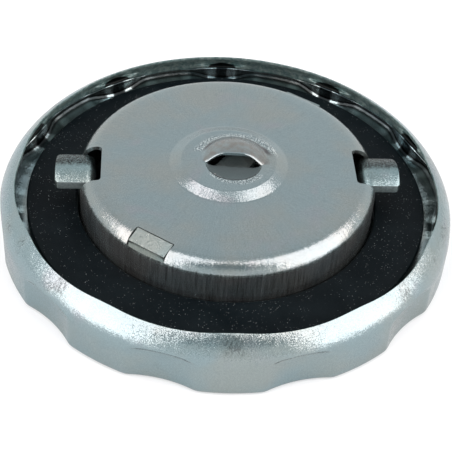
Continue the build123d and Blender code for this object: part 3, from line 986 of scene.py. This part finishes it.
# ---------------------------------------------------------------- materials
def zinc(name, level=(1.0, 1.0, 1.0), roughness=0.20, grain=1.0, streaks=0.0, brushed=0.0,
         marks_and_light=None, dull=None):
    """Dull zinc plate: blue-grey with olive and lilac clouds, a crystalline grain and fine lines."""
    paint = Paint(name)
    cool, olive, lilac = (
        tuple(a * c for a, c in zip(level, tone)) for tone in (COOL, OLIVE, LILAC))
    clouds = paint.remap(paint.noise(75, 3, 0.55), 0.38, 0.68)
    bloom = paint.remap(paint.noise(110, 2, 0.5, distortion=0.4), 0.56, 0.72)
    stains = paint.remap(paint.noise(420, 4, 0.6, distortion=0.6), 0.60, 0.74)
    colour = paint.mix(clouds, cool, olive)
    colour = paint.mix(paint.times(bloom, 0.6), colour, lilac)
    colour = paint.mix(paint.times(stains, 0.25), colour, tuple(0.78 * c for c in cool))

    speckle = paint.remap(paint.noise(3300, 3, 0.75), 0.30, 0.70, 1 - 0.05 * grain, 1 + 0.05 * grain)
    if brushed:
        upright = paint.math("ABSOLUTE", paint.split(paint.facing)[2])
        upright = paint.remap(upright, 0.2, 0.5, 0.45 * brushed, 0.0)
        lines = paint.math("SUBTRACT", paint.noise(2600, 2, 0.6, at=paint.around(0.06)), 0.42)
        speckle = paint.math("ADD", speckle, paint.times(lines, upright, 6.0))
    colour = paint.scale(colour, speckle)
    # marks_and_light adds scuffs and torn faces, along with painted shade, painted highlights and painted
    # glints
    paint.set("Base Color", marks_and_light(paint, colour) if marks_and_light else colour)
    paint.set("Specular IOR Level", 0.3)

    patches = paint.remap(paint.noise(260, 3, 0.6), 0.35, 0.7)
    rough = paint.math("MULTIPLY_ADD", patches, 0.06, roughness - 0.03)
    metallic = PLATE_METALLIC
    if dull:
        worn = dull(paint)
        metallic = paint.math("MULTIPLY_ADD", worn, -0.42, PLATE_METALLIC)
        rough = paint.math("MULTIPLY_ADD", worn, 0.22, rough)
    paint.set("Metallic", metallic)
    paint.set("Roughness", rough)
    normal = paint.tilt(paint.math("MULTIPLY_ADD", patches, 0.35 * grain, 0.30 * grain), 5200)
    if streaks:
        normal = paint.tilt(0.22 * streaks, 3600, at=paint.around(0.06), under=normal)
    paint.set("Normal", normal)
    return paint.material


def rubber(name):
    """Satin black rubber with a slight blue sheen, dusted with tiny pale specks."""
    paint = Paint(name)
    cloud = paint.noise(120, 4, 0.6)
    colour = paint.mix(paint.remap(cloud, 0.35, 0.7), (0.0012, 0.0034, 0.0046), (0.0034, 0.0068, 0.0084))
    drift = paint.times(paint.noise(95, 3, 0.6), 0.3)
    for scale, size, sparse in ((620, 0.07, 0.54), (1250, 0.12, 0.45), (2600, 0.17, 0.48)):
        specks = paint.add("ShaderNodeTexVoronoi", feature="F1")
        paint.feed(specks, "Vector", paint.place)
        paint.feed(specks, "Scale", scale)
        chosen = paint.fall(specks.outputs["Distance"], 0.4 * size, size)
        strewn = paint.math("ADD", paint.noise(0.4 * scale, 2, 0.5), drift)
        shown = paint.remap(strewn, sparse + 0.15, sparse + 0.25)
        colour = paint.mix(paint.times(chosen, shown), colour, (0.20, 0.225, 0.23))
    paint.set("Base Color", colour)
    paint.set("Roughness", paint.remap(cloud, 0.3, 0.7, 0.42, 0.55))
    paint.set("Specular IOR Level", 0.06)
    paint.set("Normal", paint.bump(paint.noise(3000, 3, 0.6), 0.00003, 0.6))
    return paint.material


def felt(name):
    """Pale grey-brown felt."""
    paint = Paint(name)
    fibres = paint.noise(1800, 5, 0.8)
    paint.set("Base Color", paint.mix(fibres, (0.24, 0.23, 0.20), (0.42, 0.40, 0.36)))
    paint.set("Roughness", 0.95)
    paint.set("Normal", paint.bump(fibres, 0.0001, 0.8))
    return paint.material


def dress(thing, material):
    """Gives a piece, or a CAD node by name, one material."""
    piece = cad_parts[thing] if isinstance(thing, str) else thing
    piece.data.materials.clear()
    piece.data.materials.append(material)


dress(shell, zinc("shell_zinc", SHELL_LEVEL, grain=1.6, streaks=0.6, marks_and_light=slot_shadow, dull=facing_in))
dress(body, zinc("cup_zinc", streaks=1.0, brushed=1.0, marks_and_light=crimp_light_and_louvre, dull=louvre_bowl))
dress(bar, zinc("lug_zinc", LUG_TINT, grain=1.8, roughness=0.24, marks_and_light=sheared_edges, dull=torn_face))
dress("bridge_bar", zinc("bridge_zinc", BRIDGE_TINT, grain=1.8, roughness=0.30, dull=bridge_strip))
dress("baffle_plate", zinc("baffle_zinc", roughness=0.30))
dress(coil, zinc("spring_wire", SPRING_TINT, roughness=0.30))
dress(seal, rubber("seal_black"))
dress("vent_filter", felt("filter_felt"))


# ---------------------------------------------------------------- floor, world, lights, camera
FLOOR_HALF = 6.0                # in metres
FLOOR_DROP = 0.00002            # the floor lies this far under the cap
FLOOR_GLOW = 0.40               # what the floor adds for the camera, and in the metal
MIRRORED_GLOW = 0.20

# the room's colours from the horizon (0) to overhead (1), and by how far a way faces DARK_WAY
ROOM_STOPS = (
    (0.0, (0.94, 0.95, 0.96)), (0.25, (1.0, 1.0, 1.0)), (0.45, (1.0, 1.0, 1.0)),
    (0.67, (0.84, 0.87, 0.90)), (0.80, (0.68, 0.72, 0.74)), (1.0, (0.70, 0.75, 0.77)),
)
DARK_WAY = (0.0, -0.54, 0.84)
DARK_STOPS = ((0.78, (1.0, 1.0, 1.0)), (0.97, (0.42, 0.50, 0.52)))

LAMP_COLOUR = (1.0, 0.82, 0.80)
LAMP_RADIANCE = 2.9
LAMP_DISTANCE = 0.9             # in metres

IMAGE_PIXELS = 452
FOCAL_PIXELS = 1246.6
CAMERA_DISTANCE = 243.3
CAMERA_LIFT = math.radians(42.52)
CAMERA_ROLL = math.radians(4.15)
CAMERA_SWING = math.radians(-5.3)
CAMERA_AIM = (0.3625, -9.39, SEAL)


def swung(vector):
    """A direction or place turned about the cap's axis with the camera."""
    return Matrix.Rotation(CAMERA_SWING, 3, "Z") @ Vector(vector)


def make_floor():
    """Large white floor that shows white to the camera and keeps the cap's shadow."""
    corners = [(x * FLOOR_HALF, y * FLOOR_HALF, 0) for x, y in ((-1, -1), (1, -1), (1, 1), (-1, 1))]
    mesh = bpy.data.meshes.new("floor")
    mesh.from_pydata(corners, [], [(0, 1, 2, 3)])
    floor = bpy.data.objects.new("floor", mesh)
    bpy.context.scene.collection.objects.link(floor)
    floor.location.z = cad_box[0][2] - FLOOR_DROP
    paint = Paint("floor_white")
    paint.set("Base Color", (0.46, 0.50, 0.51, 1.0))
    paint.set("Roughness", 0.9)
    paint.set("Specular IOR Level", 0.1)
    paint.set("Emission Color", (1.0, 1.0, 1.0, 1.0))
    ray = paint.add("ShaderNodeLightPath").outputs
    mirrored = paint.times(ray["Is Glossy Ray"], MIRRORED_GLOW)
    paint.set("Emission Strength", paint.math("MULTIPLY_ADD", ray["Is Camera Ray"], FLOOR_GLOW, mirrored))
    dress(floor, paint.material)


def make_world():
    """Studio room: white round the horizon, grey higher up, with a dark teal patch in front."""
    world = bpy.data.worlds.new("studio")
    world.use_nodes = True
    bpy.context.scene.world = world
    room = Nodes(world.node_tree)
    way = room.add("ShaderNodeTexCoord").outputs["Generated"]
    walls = room.ramp(room.split(way)[2], ROOM_STOPS)
    toward = room.vector("DOT_PRODUCT", way, swung(DARK_WAY).normalized(), output="Value")
    shade = room.mix(1.0, walls, room.ramp(toward, DARK_STOPS), "MULTIPLY")
    seen = room.add("ShaderNodeLightPath").outputs["Is Camera Ray"]
    room.feed(room.tree.nodes["Background"], "Color", room.mix(seen, shade, (1.0, 1.0, 1.0)))


def softbox(name, side, lift, size, spin):
    """Rectangular lamp that faces the cap, at angles to the right of the front and above the floor."""
    side, lift = math.radians(side), math.radians(lift)
    way = (math.sin(side) * math.cos(lift), -math.cos(side) * math.cos(lift), math.sin(lift))
    lamp = bpy.data.lights.new(name, "AREA")
    lamp.color = LAMP_COLOUR
    lamp.shape = "RECTANGLE"
    lamp.size, lamp.size_y = size
    lamp.energy = LAMP_RADIANCE * math.pi * size[0] * size[1]
    holder = bpy.data.objects.new(name, lamp)
    bpy.context.scene.collection.objects.link(holder)
    away = swung(way).normalized()
    holder.location = away * LAMP_DISTANCE
    facing = away.to_track_quat("Z", "Y").to_matrix() @ Matrix.Rotation(math.radians(spin), 3, "Z")
    holder.rotation_euler = facing.to_euler()


def make_camera():
    """Camera where the view's distance, height and roll put it, all about the cap's axis."""
    ahead = Vector((0, math.cos(CAMERA_LIFT), -math.sin(CAMERA_LIFT)))
    level = Vector((1, 0, 0))
    upright = Vector((0, math.sin(CAMERA_LIFT), math.cos(CAMERA_LIFT)))
    right = math.cos(CAMERA_ROLL) * level + math.sin(CAMERA_ROLL) * upright
    up = -math.sin(CAMERA_ROLL) * level + math.cos(CAMERA_ROLL) * upright
    place = Vector(CAMERA_AIM) * MM - ahead * CAMERA_DISTANCE * MM
    axes = Matrix((swung(right), swung(up), swung(-ahead))).transposed()
    camera = bpy.data.cameras.new("camera")
    camera.sensor_width = 36.0
    camera.lens = FOCAL_PIXELS / IMAGE_PIXELS * camera.sensor_width
    camera.clip_start = 0.01
    camera.clip_end = 50.0
    holder = bpy.data.objects.new("camera", camera)
    bpy.context.scene.collection.objects.link(holder)
    holder.matrix_world = Matrix.Translation(swung(place)) @ axes.to_4x4()
    bpy.context.scene.camera = holder


make_floor()
make_world()
softbox("left_box", -59.5, 38.7, (0.85, 1.84), spin=15)
softbox("right_box", 74.1, 34.0, (0.90, 1.90), spin=-19)
make_camera()

bpy.context.scene.view_settings.view_transform = "Standard"
